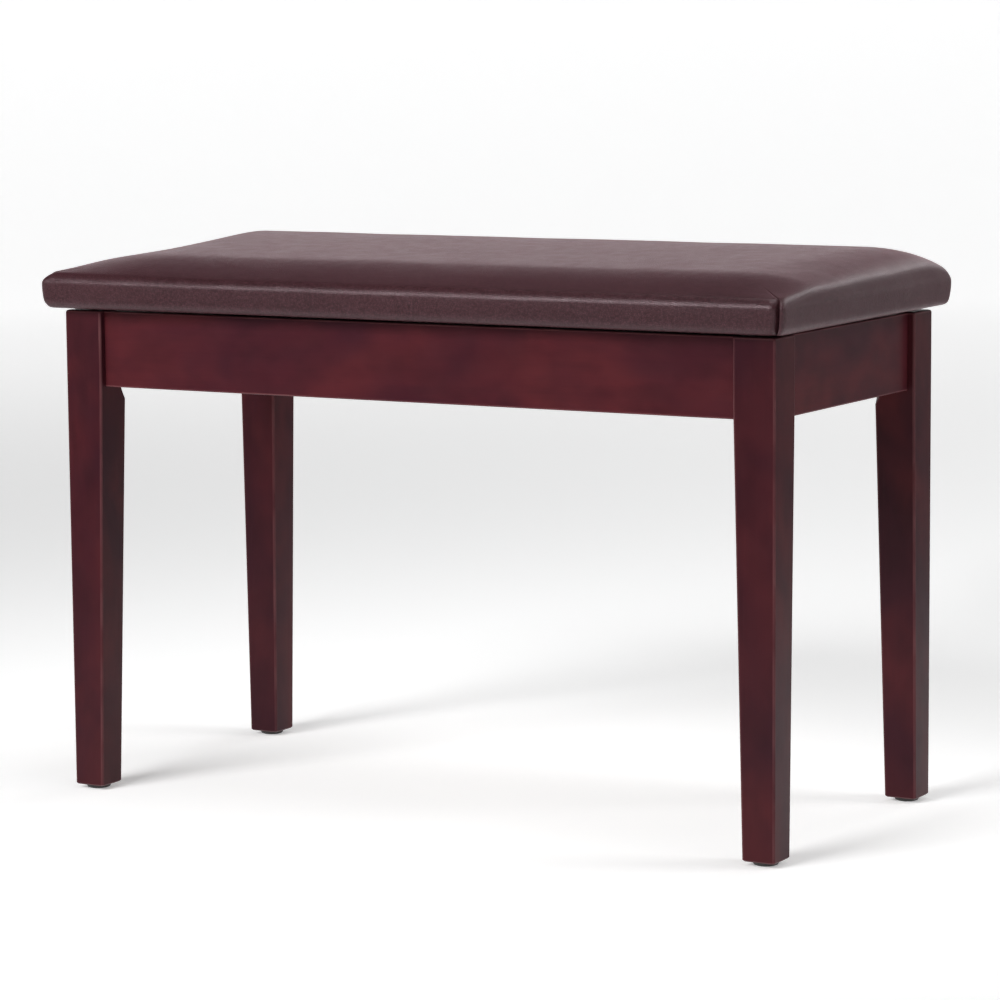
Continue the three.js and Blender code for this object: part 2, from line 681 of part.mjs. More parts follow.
const leafTopZ = LID_FACE_Z - GAP - LEAF_THICKNESS;
HINGE_CENTRES_X.forEach((x, i) => {
  const side = ["left", "right"][i];
  const fixed = leafGeometry(x, leafBottomZ, BOX_INNER_Y + 0.5, [0, 2, 4]);
  const moving = leafGeometry(x, leafTopZ, BOX_INNER_Y - 5, [1, 3]);
  addPiece(lidHardware, `hinge_leaf_fixed_${side}`, fixed, brass);
  addPiece(lidHardware, `hinge_leaf_lid_${side}`, moving, brass);
  addPiece(lidHardware, `hinge_pin_${side}`, hingePinGeometry(x), brass);
});

// ---- lid stay on the left end: a slider runs in a track whose line meets the hinge axis ----
const trackBackX = -BOX_INNER_X + GAP;
const alongTrack = new THREE.Vector3(0, -Math.cos(STAY_SLOPE), -Math.sin(STAY_SLOPE));
const acrossTrack = new THREE.Vector3(0, Math.sin(STAY_SLOPE), -Math.cos(STAY_SLOPE));
const hingeAtTrack = new THREE.Vector3(trackBackX, HINGE_AXIS_Y, HINGE_AXIS_Z);

function onTrack(geometry, distance) {
  const origin = hingeAtTrack.clone().addScaledVector(alongTrack, distance);
  return placed(geometry, acrossTrack, UNIT_X, alongTrack, origin);
}

const halfTrack = TRACK_HEIGHT / 2;
const halfSlot = 3.2;
const trackSection = polygon([
  [-halfTrack, 0], [halfTrack, 0], [halfTrack, TRACK_DEPTH], [halfSlot, TRACK_DEPTH],
  [halfSlot, TRACK_DEPTH - TRACK_WALL], [halfTrack - TRACK_WALL, TRACK_DEPTH - TRACK_WALL],
  [halfTrack - TRACK_WALL, TRACK_WALL], [-halfTrack + TRACK_WALL, TRACK_WALL],
  [-halfTrack + TRACK_WALL, TRACK_DEPTH - TRACK_WALL], [-halfSlot, TRACK_DEPTH - TRACK_WALL],
  [-halfSlot, TRACK_DEPTH], [-halfTrack, TRACK_DEPTH],
]);
addPiece(
  lidHardware,
  "stay_track",
  onTrack(extruded(trackSection, TRACK_END - TRACK_START), TRACK_START),
  zincSteel,
);

const armFromX = TRACK_DEPTH + 0.6;
const armToX = armFromX + 2;
const sliderDistance = 2 * STAY_ARM_LENGTH * Math.cos(STAY_REST_ANGLE);

function acrossRod(radius, from, to, segments = 20) {
  return placed(rod(radius, from, to, segments), UNIT_Z, UNIT_X, UNIT_Y, new THREE.Vector3());
}

const sliderGeometry = join(
  box([-5.2, TRACK_WALL + 0.35, -9], [5.2, TRACK_DEPTH - TRACK_WALL - 0.35, 9]),
  acrossRod(2.9, TRACK_WALL + 1, TRACK_DEPTH + 0.3),
  acrossRod(PIVOT_RADIUS, TRACK_WALL + 1, armToX + 0.6),
  acrossRod(4.6, armToX + GAP, armToX + 1.6),
);
addPiece(lidHardware, "stay_slider", onTrack(sliderGeometry, sliderDistance), nylon);

// The lid pivot stands one arm length from the hinge axis, a little above the track's line.
const pivotAngle = STAY_SLOPE - STAY_REST_ANGLE;
const lidPivot = new THREE.Vector3(
  trackBackX,
  HINGE_AXIS_Y - STAY_ARM_LENGTH * Math.cos(pivotAngle),
  HINGE_AXIS_Z - STAY_ARM_LENGTH * Math.sin(pivotAngle),
);
const sliderPivot = hingeAtTrack.clone().addScaledVector(alongTrack, sliderDistance);

const armShape = new THREE.Shape();
const halfArm = STAY_ARM_WIDTH / 2;
armShape.absarc(0, 0, halfArm, Math.PI / 2, Math.PI * 1.5, false);
armShape.absarc(STAY_ARM_LENGTH, 0, halfArm, -Math.PI / 2, Math.PI / 2, false);
[0, STAY_ARM_LENGTH].forEach((place) => {
  const hole = new THREE.Path();
  hole.absarc(place, 0, PIVOT_HOLE_RADIUS, 0, Math.PI * 2, true);
  armShape.holes.push(hole);
});
const armDirection = sliderPivot.clone().sub(lidPivot).normalize();
const armNormal = new THREE.Vector3().crossVectors(UNIT_X, armDirection);
const armGeometry = placed(
  extruded(armShape, armToX - armFromX, 10),
  armDirection,
  armNormal,
  UNIT_X,
  lidPivot.clone().add(new THREE.Vector3(armFromX, 0, 0)),
);
addPiece(lidHardware, "stay_arm", armGeometry, zincSteel);

// Bracket under the lid: a screwed foot and an ear that carries the arm's rivet.
const earFromX = trackBackX + armToX + 0.4;
const earToX = earFromX + 1.5;
const footLowZ = LID_FACE_Z - GAP - 1.5;
const footHighZ = LID_FACE_Z - GAP;
const earBody = box([earFromX, lidPivot.y - 8, lidPivot.z], [earToX, lidPivot.y + 8, footHighZ]);
const earRound = placed(
  rod(8, earFromX, earToX, 20),
  UNIT_Y,
  UNIT_Z,
  UNIT_X,
  new THREE.Vector3(0, lidPivot.y, lidPivot.z),
);
const bracketFoot = box([earFromX, lidPivot.y - 18, footLowZ], [earToX + 22, lidPivot.y + 18, footHighZ]);
const bracketHoles = [-12, 12].map((offset) =>
  rod(2.1, footLowZ - 3, footHighZ + 3, 12).translate(earToX + 11, lidPivot.y + offset, 0),
);
const rivetHole = placed(
  rod(PIVOT_HOLE_RADIUS, earFromX - 5, earToX + 5, 16),
  UNIT_Y,
  UNIT_Z,
  UNIT_X,
  new THREE.Vector3(0, lidPivot.y, lidPivot.z),
);
const bracket = cut(join(earBody, earRound, bracketFoot), rivetHole, ...bracketHoles);
addPiece(lidHardware, "stay_lid_bracket", bracket, zincSteel);

const rivet = turned([
  [0, armFromX - 1.5], [3.6, armFromX - 1.5], [4.4, armFromX - 0.8], [4.4, armFromX - GAP],
  [PIVOT_RADIUS, armFromX - GAP], [PIVOT_RADIUS, armToX + 2.2], [4.4, armToX + 2.2],
  [4.4, armToX + 2.8], [3.6, armToX + 3.6], [0, armToX + 3.6],
], 16);
addPiece(lidHardware, "stay_rivet", placed(rivet, UNIT_Y, UNIT_Z, UNIT_X, lidPivot), zincSteel);

export default bench;
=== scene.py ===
import math

import bpy
import numpy as np
from mathutils import Matrix, Vector
from mathutils.kdtree import KDTree


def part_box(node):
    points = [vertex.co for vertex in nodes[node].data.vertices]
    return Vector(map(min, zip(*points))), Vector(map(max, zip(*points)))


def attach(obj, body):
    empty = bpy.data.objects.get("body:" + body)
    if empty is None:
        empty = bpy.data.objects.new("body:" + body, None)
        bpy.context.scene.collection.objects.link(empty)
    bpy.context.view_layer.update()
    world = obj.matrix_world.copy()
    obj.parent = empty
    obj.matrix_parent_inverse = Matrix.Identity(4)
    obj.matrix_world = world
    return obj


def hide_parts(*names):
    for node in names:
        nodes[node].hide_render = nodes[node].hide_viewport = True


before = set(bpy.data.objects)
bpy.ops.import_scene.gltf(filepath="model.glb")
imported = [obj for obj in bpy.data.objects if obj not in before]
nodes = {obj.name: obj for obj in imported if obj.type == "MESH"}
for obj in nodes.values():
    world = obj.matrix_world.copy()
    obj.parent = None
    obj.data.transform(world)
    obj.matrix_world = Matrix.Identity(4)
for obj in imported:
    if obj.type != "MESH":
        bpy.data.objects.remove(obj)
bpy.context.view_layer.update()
scene = bpy.context.scene

# ---------------------------------------------------------------- camera
FRAME_PX = 1000.0
SENSOR_MM = 36.0


def make_camera(location, yaw, pitch, roll, focal_px):
    """A camera turned by angles in degrees, with its focal length in pixels of the square frame."""
    yaw, pitch, roll = (math.radians(a) for a in (yaw, pitch, roll))
    forward = Vector((math.sin(yaw) * math.cos(pitch), math.cos(yaw) * math.cos(pitch), math.sin(pitch)))
    right = forward.cross(Vector((0, 0, 1))).normalized()
    up = right.cross(forward)
    r = right * math.cos(roll) + up * math.sin(roll)
    u = up * math.cos(roll) - right * math.sin(roll)
    data = bpy.data.cameras.new("camera")
    data.sensor_fit = "HORIZONTAL"
    data.sensor_width = SENSOR_MM
    data.lens = focal_px * SENSOR_MM / FRAME_PX
    data.clip_start, data.clip_end = 0.05, 60.0
    cam = bpy.data.objects.new("camera", data)
    scene.collection.objects.link(cam)
    cam.matrix_world = Matrix((
        (r.x, u.x, -forward.x, location[0]),
        (r.y, u.y, -forward.y, location[1]),
        (r.z, u.z, -forward.z, location[2]),
        (0, 0, 0, 1),
    ))
    scene.camera = cam


make_camera(location=(1.68065, -2.92098, 0.71309), yaw=-29.843, pitch=-7.478, roll=-0.471, focal_px=3746.2)

# ---------------------------------------------------------------- node helpers
def new_material(name):
    m = bpy.data.materials.new(name)
    m.use_nodes = True
    tree = m.node_tree
    return m, tree, tree.nodes["Principled BSDF"]


def node(tree, kind, inputs=None, **props):
    n = tree.nodes.new(kind)
    for key, value in props.items():
        setattr(n, key, value)
    for key, value in (inputs or {}).items():
        if isinstance(value, bpy.types.NodeSocket):
            tree.links.new(value, n.inputs[key])
        else:
            n.inputs[key].default_value = value
    return n


def object_position(tree):
    return node(tree, "ShaderNodeTexCoord").outputs["Object"]


def coordinates(tree, scale=(1, 1, 1), offset=(0, 0, 0)):
    where = {0: object_position(tree), "Scale": scale, "Location": offset}
    return node(tree, "ShaderNodeMapping", where).outputs[0]


def along_axis(axis, scale):
    """A scale that stretches a pattern along one axis, "X", "Y" or "Z"."""
    scales = [1.0, 1.0, 1.0]
    scales["XYZ".index(axis)] = scale
    return scales


def noise(tree, vector, scale, detail=2.0, rough=0.5, distortion=0.0):
    return node(tree, "ShaderNodeTexNoise", {
        "Vector": vector, "Scale": scale, "Detail": detail, "Roughness": rough, "Distortion": distortion,
    }).outputs["Fac"]


def remap(tree, value, low, high, to_low=0.0, to_high=1.0, kind="LINEAR"):
    return node(tree, "ShaderNodeMapRange", {
        "Value": value, "From Min": low, "From Max": high, "To Min": to_low, "To Max": to_high,
    }, interpolation_type=kind).outputs["Result"]


def math_node(tree, op, a, b=0.0):
    return node(tree, "ShaderNodeMath", {0: a, 1: b}, operation=op).outputs[0]


def times(tree, a, b):
    return math_node(tree, "MULTIPLY", a, b)


def plus(tree, a, b):
    return math_node(tree, "ADD", a, b)


def cell_edges(tree, vector, scale, randomness):
    """Distance from the borders of a pattern of irregular cells."""
    inputs = {"Vector": vector, "Scale": scale, "Randomness": randomness}
    return node(tree, "ShaderNodeTexVoronoi", inputs, feature="DISTANCE_TO_EDGE").outputs["Distance"]


def shade(colour, factor, lift=0.0):
    return tuple(min(1.0, c * factor + lift) for c in colour)


def mix_colour(tree, factor, a, b):
    n = node(tree, "ShaderNodeMix", data_type="RGBA")
    for index, value in ((0, factor), (6, a), (7, b)):
        if isinstance(value, bpy.types.NodeSocket):
            tree.links.new(value, n.inputs[index])
        else:
            n.inputs[index].default_value = value if index == 0 else (*value, 1.0)
    return n.outputs[2]


def bump(tree, height, strength, distance):
    inputs = {"Height": height, "Strength": strength, "Distance": distance}
    return node(tree, "ShaderNodeBump", inputs).outputs["Normal"]


def set_inputs(shader, values):
    for key, value in values.items():
        shader.inputs[key].default_value = value


def finish_material(m, tree, shader, colour, roughness, normal):
    """Links what varies over the surface. A plain number for roughness is set on the shader's own socket."""
    tree.links.new(colour, shader.inputs["Base Color"])
    if isinstance(roughness, bpy.types.NodeSocket):
        tree.links.new(roughness, shader.inputs["Roughness"])
    else:
        shader.inputs["Roughness"].default_value = roughness
    tree.links.new(normal, shader.inputs["Normal"])
    return m


# ---------------------------------------------------------------- materials
STAIN_RED = (0.082, 0.0138, 0.0176)
STAIN_DARK = (0.044, 0.0085, 0.0145)
STAIN_DEEP = (0.026, 0.0055, 0.0090)
# the palest stain colour is a painted highlight for the eased edges, not a stain
EDGE_HIGHLIGHT_PALE = (0.190, 0.070, 0.075)


def lacquered_wood(name, axis, seed, depth):
    """Dark red-brown stain under satin lacquer: cloudy, with faint long fibres along axis, and a painted
    highlight on the eased edges, paler in patches. A lower depth makes the whole stain darker."""
    m, t, s = new_material(name)
    shift = (seed * 1.37, seed * 2.11, seed * 0.73)
    fibres = coordinates(t, along_axis(axis, 0.045), shift)
    clouds = coordinates(t, along_axis(axis, 0.6), shift)
    cloud = noise(t, clouds, 15.0, 2.0, 0.5, 0.5)
    patch = noise(t, clouds, 40.0, 2.0, 0.5, 0.3)
    streak = noise(t, fibres, 230.0, 4.0, 0.65, 0.4)
    pore = noise(t, fibres, 1500.0, 2.0, 0.6)
    red, dark, deep, pale = (shade(c, depth) for c in (STAIN_RED, STAIN_DARK, STAIN_DEEP, EDGE_HIGHLIGHT_PALE))
    colour = mix_colour(t, remap(t, cloud, 0.35, 0.65), dark, red)
    colour = mix_colour(t, remap(t, patch, 0.42, 0.75, 0.0, 0.45), colour, deep)
    colour = mix_colour(t, remap(t, streak, 0.35, 0.75, 0.0, 0.16), colour, deep)
    colour = mix_colour(t, remap(t, pore, 0.6, 0.78, 0.0, 0.14), colour, deep)
    eased = node(t, "ShaderNodeAttribute", attribute_name="eased").outputs["Fac"]
    # painted highlight: the eased edges are painted paler, in patches, where the rounded edges catch the light
    edge_highlight = times(t, eased, remap(t, patch, 0.3, 0.7, 0.15, 0.6))
    colour = mix_colour(t, edge_highlight, colour, pale)
    rough = remap(t, noise(t, clouds, 60.0, 3.0), 0.3, 0.7, 0.28, 0.37)
    lift = plus(t, times(t, streak, 0.5), times(t, pore, -0.45))
    set_inputs(s, {"Specular IOR Level": 0.1, "Coat Weight": 0.04, "Coat Roughness": 0.24})
    return finish_material(m, t, s, colour, rough, bump(t, lift, 0.10, 0.0003))


LEATHER_DARK = (0.033, 0.0102, 0.0125)
LEATHER_LIGHT = (0.044, 0.0138, 0.0166)
LEATHER_PEBBLE = (0.072, 0.0270, 0.0345)
# the valley colour is painted shade for the hollows between the pebbles
LEATHER_VALLEY_SHADE = (0.010, 0.005, 0.006)


def leatherette():
    """Artificial leather: pebbles about 2 mm across, painted shade in the valleys between them, a low red-purple
    sheen.
    """
    m, t, s = new_material("leatherette")
    v = coordinates(t)
    wander = noise(t, v, 420.0)
    cell_rise = remap(t, cell_edges(t, v, 560.0, 0.95), 0.0, 0.22)
    fine = noise(t, v, 2600.0)
    crease_rise = remap(t, cell_edges(t, v, 210.0, 1.0), 0.0, 0.06)
    height = plus(t, times(t, cell_rise, 0.55), times(t, crease_rise, 0.04))
    height = plus(t, height, times(t, fine, 0.18))
    height = plus(t, height, times(t, wander, 0.5))
    tone = noise(t, v, 9.0)
    colour = mix_colour(t, remap(t, tone, 0.35, 0.65), LEATHER_DARK, LEATHER_LIGHT)
    pebble = noise(t, v, 360.0, 2.0, 0.6)
    colour = mix_colour(t, remap(t, pebble, 0.40, 0.62, 0.0, 0.62), colour, LEATHER_PEBBLE)
    # painted shade: darker towards the pebbles' edges, in the valleys between them
    colour = mix_colour(t, remap(t, cell_rise, 0.0, 1.0, 0.62, 0.0), colour, LEATHER_VALLEY_SHADE)
    rough = remap(t, noise(t, v, 70.0, 3.0), 0.3, 0.7, 0.29, 0.35)
    set_inputs(s, {
        "Specular IOR Level": 0.4, "Specular Tint": (1.0, 0.8, 0.86, 1.0),
        "Sheen Weight": 0.22, "Sheen Roughness": 0.3, "Sheen Tint": (1.0, 0.42, 0.52, 1.0),
    })
    return finish_material(m, t, s, colour, rough, bump(t, height, 0.38, 0.0004))


def raw_wood(name, axis, seed, light, dark):
    """Unfinished wood or board with its grain along axis."""
    m, t, s = new_material(name)
    v = coordinates(t, along_axis(axis, 0.05), (seed, seed * 1.7, seed * 0.6))
    grain = noise(t, v, 120.0, 4.0, 0.6, 0.8)
    fibre = noise(t, v, 900.0, 2.0, 0.6)
    colour = mix_colour(t, remap(t, grain, 0.3, 0.7), light, dark)
    colour = mix_colour(t, remap(t, fibre, 0.5, 0.75, 0.0, 0.4), colour, shade(dark, 0.45))
    height = plus(t, grain, times(t, fibre, 0.6))
    rough = remap(t, grain, 0.3, 0.7, 0.62, 0.8)
    return finish_material(m, t, s, colour, rough, bump(t, height, 0.25, 0.0003))


def hardboard():
    """Brown pressed board with darker specks."""
    m, t, s = new_material("hardboard")
    v = coordinates(t)
    speck = noise(t, v, 700.0, 4.0, 0.7)
    cloud = noise(t, v, 18.0, 2.0)
    colour = mix_colour(t, remap(t, cloud, 0.3, 0.7), (0.085, 0.040, 0.022), (0.125, 0.062, 0.034))
    colour = mix_colour(t, remap(t, speck, 0.5, 0.7, 0.0, 0.5), colour, (0.035, 0.016, 0.010))
    return finish_material(m, t, s, colour, remap(t, speck, 0.3, 0.7, 0.5, 0.68), bump(t, speck, 0.3, 0.0002))


def metal(name, colour, rough_low, rough_high):
    """Plated metal with fine scratches and faint spots."""
    m, t, s = new_material(name)
    v = coordinates(t)
    scratch = noise(t, coordinates(t, (1.0, 0.06, 0.3)), 1400.0, 2.0, 0.6)
    spot = noise(t, v, 160.0, 3.0, 0.6)
    base = mix_colour(t, remap(t, spot, 0.35, 0.7), colour, shade(colour, 0.72))
    rough = remap(t, scratch, 0.3, 0.7, rough_low, rough_high)
    height = plus(t, scratch, times(t, spot, 0.4))
    s.inputs["Metallic"].default_value = 1.0
    return finish_material(m, t, s, base, rough, bump(t, height, 0.12, 0.0001))


THREAD_PITCH = 0.00125
DIAGONAL = 0.7071


def threaded_steel(corner_x, corner_y):
    """Zinc steel with a screw thread whose axis is the level diagonal towards one corner of the bench."""
    m, t, s = new_material(f"threaded_steel_{'l' if corner_x < 0 else 'r'}{'f' if corner_y < 0 else 'b'}")
    v = object_position(t)
    along = node(t, "ShaderNodeVectorMath", {0: v, 1: (corner_x * DIAGONAL, corner_y * DIAGONAL, 0)},
                 operation="DOT_PRODUCT").outputs["Value"]
    wave = math_node(t, "SINE", times(t, along, 2 * math.pi / THREAD_PITCH))
    spot = noise(t, v, 300.0, 3.0)
    base = mix_colour(t, remap(t, spot, 0.35, 0.7), (0.52, 0.53, 0.54), (0.36, 0.37, 0.38))
    s.inputs["Metallic"].default_value = 1.0
    rough = remap(t, spot, 0.3, 0.7, 0.28, 0.42)
    return finish_material(m, t, s, base, rough, bump(t, wave, 0.8, 0.0004))


def plastic(name, colour, rough):
    """Moulded plastic with paler scuffs."""
    m, t, s = new_material(name)
    v = coordinates(t)
    grain = noise(t, v, 1800.0, 2.0)
    scuff = noise(t, v, 90.0, 3.0, 0.65)
    base = mix_colour(t, remap(t, scuff, 0.45, 0.75, 0.0, 0.5), colour, shade(colour, 1.9, 0.01))
    roughness = remap(t, scuff, 0.3, 0.7, rough, rough + 0.15)
    return finish_material(m, t, s, base, roughness, bump(t, grain, 0.15, 0.0001))


def cloth(name, colour, thread_pitch):
    """Plain weave: two crossed sets of threads."""
    m, t, s = new_material(name)
    v = object_position(t)
    split = node(t, "ShaderNodeSeparateXYZ", {0: v})
    k = 2 * math.pi / thread_pitch
    warp = math_node(t, "SINE", times(t, split.outputs[0], k))
    weft = math_node(t, "SINE", times(t, split.outputs[1], k))
    weave = times(t, warp, weft)
    fuzz = noise(t, v, 900.0, 3.0, 0.7)
    base = mix_colour(t, remap(t, weave, -1.0, 1.0), shade(colour, 0.5), colour)
    base = mix_colour(t, remap(t, fuzz, 0.5, 0.8, 0.0, 0.4), base, shade(colour, 2.2))
    height = plus(t, weave, times(t, fuzz, 0.7))
    set_inputs(s, {"Sheen Weight": 0.06, "Specular IOR Level": 0.25})
    return finish_material(m, t, s, base, 0.92, bump(t, height, 0.5, 0.0003))


def felt(name, colour):
    m, t, s = new_material(name)
    fuzz = noise(t, coordinates(t), 1500.0, 4.0, 0.75)
    base = mix_colour(t, remap(t, fuzz, 0.35, 0.7), shade(colour, 0.5), shade(colour, 1.6))
    set_inputs(s, {"Sheen Weight": 0.5})
    return finish_material(m, t, s, base, 0.96, bump(t, fuzz, 0.8, 0.0005))


# ---------------------------------------------------------------- mesh helpers
def new_object(name, verts, faces):
    mesh = bpy.data.meshes.new(name)
    mesh.from_pydata([tuple(v) for v in verts], [], faces)
    mesh.update()
    obj = bpy.data.objects.new(name, mesh)
    scene.collection.objects.link(obj)
    return obj


def paint(obj, material):
    obj.data.materials.clear()
    obj.data.materials.append(material)


def shade_smooth(mesh):
    mesh.polygons.foreach_set("use_smooth", np.ones(len(mesh.polygons), bool))


def smooth(obj, angle=35.0):
    """Smooth shading across gentle edges only; the mesh itself stays as it is."""
    shade_smooth(obj.data)
    weld = obj.modifiers.new("weld", "WELD")
    weld.merge_threshold = 1e-6
    split = obj.modifiers.new("split", "EDGE_SPLIT")
    split.split_angle = math.radians(angle)
    split.use_edge_sharp = False
    weigh = obj.modifiers.new("weigh", "WEIGHTED_NORMAL")
    weigh.weight = 100
    weigh.keep_sharp = True


EASED_WIDTH = 0.0019


def mark_eased_edges(obj):
    """A face attribute that is 1 on the strips of the rounded edges, which are narrower than EASED_WIDTH."""
    mesh = obj.data
    eased = mesh.attributes.new("eased", "FLOAT", "FACE")
    for face in mesh.polygons:
        points = [mesh.vertices[v].co for v in face.vertices]
        longest = max((points[i] - points[i - 1]).length for i in range(len(points)))
        eased.data[face.index].value = 1.0 if 2 * face.area / longest < EASED_WIDTH else 0.0


# ---------------------------------------------------------------- the CAD's rigid pieces
CORNER_NAMES = ("front_left", "front_right", "back_left", "back_right")
LEG_DEPTH, APRON_DEPTH = 0.76, 0.94


def corner_signs(corner):
    return (1 if "right" in corner else -1), (1 if "back" in corner else -1)


grain_axis = {
    "leg_front_left": "Z", "leg_front_right": "Z", "leg_back_left": "Z", "leg_back_right": "Z",
    "apron_front": "X", "apron_back": "X", "apron_left": "Y", "apron_right": "Y",
}
for i, (name, axis) in enumerate(grain_axis.items()):
    depth = LEG_DEPTH if name.startswith("leg") else APRON_DEPTH
    mark_eased_edges(nodes[name])
    paint(nodes[name], lacquered_wood("stained_" + name, axis, 1.0 + 3.1 * i, depth))

pale, pale_dark = (0.44, 0.285, 0.155), (0.33, 0.20, 0.10)
for i, name in enumerate(("cleat_front", "cleat_back")):
    paint(nodes[name], raw_wood("raw_" + name, "X", 2.0 + i, pale, pale_dark))
for i, name in enumerate(("cleat_left", "cleat_right")):
    paint(nodes[name], raw_wood("raw_" + name, "Y", 5.0 + i, pale, pale_dark))
for i, corner in enumerate(CORNER_NAMES):
    paint(nodes["corner_block_" + corner], raw_wood("raw_block_" + corner, "X", 9.0 + i, pale, pale_dark))
    paint(nodes["hanger_bolt_" + corner], threaded_steel(*corner_signs(corner)))
paint(nodes["seat_board"], raw_wood("plywood", "X", 14.0, (0.50, 0.34, 0.20), (0.40, 0.26, 0.14)))
paint(nodes["bottom_panel"], hardboard())

zinc = metal("zinc_steel", (0.56, 0.57, 0.59), 0.26, 0.42)
brass = metal("brass_plate", (0.62, 0.42, 0.17), 0.22, 0.38)
dark_plastic = plastic("glide_plastic", (0.020, 0.016, 0.015), 0.42)
nylon = plastic("nylon", (0.62, 0.60, 0.54), 0.45)
bumper_felt = felt("bumper_felt", (0.055, 0.030, 0.022))
for name, obj in nodes.items():
    if name.startswith(("washer", "wing_nut", "stay_track", "stay_arm", "stay_lid", "stay_rivet")):
        paint(obj, zinc)
    elif name.startswith("hinge"):
        paint(obj, brass)
    elif name.startswith("glide"):
        paint(obj, dark_plastic)
    elif name == "stay_slider":
        paint(obj, nylon)
    elif name.startswith("bumper"):
        paint(obj, bumper_felt)
    smooth(obj)

# ---------------------------------------------------------------- upholstered cushion
# The cushion's own numbers are in millimetres unless MM is with them: insets from the seat's outline in plan,
# and heights over the cover's underside.
MM = 0.001
seat_low, seat_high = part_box("seat_cover")
HALF_X, HALF_Y = seat_high.x, seat_high.y
UNDER_Z, TOP_Z = seat_low.z, seat_high.z
CREST = 27.9 * MM
CROWN = TOP_Z - UNDER_Z - CREST + 1.0 * MM   # the padding stands up to 1 mm proud of the CAD's top
BAND_TOP = 19.5


def smoothstep(x, a, b):
    t = np.clip((x - a) / (b - a), 0, 1)
    return t * t * (3 - 2 * t)


def rise(distance, run, power):
    """From 0 at the edge to 1 at a distance of run, steep at first."""
    return 1 - (1 - np.clip(distance / run, 0, 1)) ** power


def crown(p):
    """Height of the padding over the underside. It has a steep slope at the front and then a gentle one to the
    back, slopes at the ends that get shorter to the back, a short back slope, and a raised front left corner."""
    rear = smoothstep(p[:, 1], -60 * MM, 150 * MM)
    run = np.where(p[:, 0] < 0, 98 - 62 * rear, 78 - 12 * rear) * MM
    end = rise(HALF_X - np.abs(p[:, 0]) - 3 * MM, run, 2.0)   # the crown starts 3 mm in from each edge
    back = rise(HALF_Y - p[:, 1] - 3 * MM, 45 * MM, 2.0)
    from_front = HALF_Y + p[:, 1] - 3 * MM
    front = 0.55 * rise(from_front, 72 * MM, 1.5) + 0.45 * rise(from_front, 290 * MM, 1.3)
    left_corner = np.exp(-(HALF_X + p[:, 0] + HALF_Y + p[:, 1]) / (45 * MM))
    return CREST + 2.6 * left_corner * MM + CROWN * np.sqrt(end * back) * front


# The cover is folded at each corner: the panel of one side runs in under the edge of the next side's panel.
# Pairs are (distance back along the first side, distance on along the next side) from the sharp corner.
PANEL_RUNNING_UNDER = [(14, 0), (13.2, .06), (12.4, .18), (11.6, .38), (10.8, .68), (10, 1.08), (9.25, 1.6),
                       (8.6, 2.2), (8.05, 2.9), (7.55, 3.7), (7.15, 4.5), (6.8, 5.3), (6.5, 6.1),
                       (6.15, 6.8), (5.7, 7.3), (5.2, 7.5), (4.7, 7.5)]
PANEL_LAPPING_OVER = [(3.7, 6.4), (3.3, 4.9), (3.4, 3.4), (3.9, 2.3), (4.2, 1.4), (3.9, .7), (3.2, .3),
                      (2.2, .35), (1.3, .85), (.65, 1.8), (.25, 3.1), (.05, 4.8), (0, 7), (0, 10), (0, 14)]
FOLD = np.array(PANEL_RUNNING_UNDER + PANEL_LAPPING_OVER) * MM
# Where the points of a rounded corner stand, from -11 at its start to 11 at its end, closest at the crease.
ARC_HALF = 11
ARC = np.array([-11, -10, -9, -8, -7, -6, -5, -4.1, -3.3, -2.6, -2, -1.5, -1.1, -.75, -.45, -.2, 0,
                .2, .4, .6, .85, 1.15, 1.5, 1.9, 2.4, 3, 3.8, 4.8, 6, 7.4, 9, 11])
COARSE_ARC = np.array([-11, -7.3, -3.7, 0, 3.7, 7.3, 11])
# Each corner's signs, the direction of the side that ends there, and that of the side that starts there.
CORNERS = [((1, -1), (1, 0), (0, 1)), ((1, 1), (0, 1), (-1, 0)),
           ((-1, 1), (-1, 0), (0, -1)), ((-1, -1), (0, -1), (1, 0))]
CREASE_LENGTH = (33, 31, 35, 30)
FOLD_SHARE = (1.0, 0.3, 1.0, 1.0)
PRESSED_ABOVE = 19 * MM
CORNER_RADIUS = 13 * MM
CORNER_POWER = 2.5   # 2 would be a circle; above it the corner is squarer
SIDE_STEPS = {True: (46, 92), False: (24, 50)}   # points along an end and along a long side, fine and coarse


def ring(inset, fold, fine):
    """One loop round the cushion. Returns its points and each one's corner and distance from the crease."""
    arc = ARC if fine else COARSE_ARC
    radius = min(CORNER_RADIUS + 0.12 * inset, HALF_Y - inset - 0.3 * MM)
    angle = (arc / ARC_HALF + 1) * math.pi / 4
    powers = np.abs(np.cos(angle)) ** CORNER_POWER + np.abs(np.sin(angle)) ** CORNER_POWER
    size = powers ** (-1 / CORNER_POWER)
    round_e, round_h = radius * (1 - size * np.sin(angle)), radius * (1 - size * np.cos(angle))
    points, tags = [], []
    for c, (corner, u, v) in enumerate(CORNERS):
        tip = np.array([corner[0] * (HALF_X - inset), corner[1] * (HALF_Y - inset)])
        u, v = np.array(u), np.array(v)
        e, h = round_e, round_h
        if fine and fold > 0:
            deep = fold * FOLD_SHARE[c]
            e = (1 - deep) * e + deep * FOLD[:, 0]
            h = (1 - deep) * h + deep * FOLD[:, 1]
        loop = tip - e[:, None] * u + h[:, None] * v
        points.append(loop)
        tags += [(c, d) for d in arc]
        nxt, nu, _ = CORNERS[(c + 1) % 4]
        far_tip = np.array([nxt[0] * (HALF_X - inset), nxt[1] * (HALF_Y - inset)])
        start = loop[-1]
        deep = fold * FOLD_SHARE[(c + 1) % 4]
        far_e = (1 - deep) * round_e[0] + deep * FOLD[0, 0] if fine else round_e[0]
        stop = far_tip - far_e * np.array(nu)
        count = SIDE_STEPS[fine][c % 2]
        f = np.arange(1, count) / count
        f = f - 0.09 * np.sin(2 * math.pi * f)   # closer together towards the corners
        points.append(start + (stop - start) * f[:, None])
        tags += [(-1, 99.0)] * (count - 1)
    return np.concatenate(points), tags


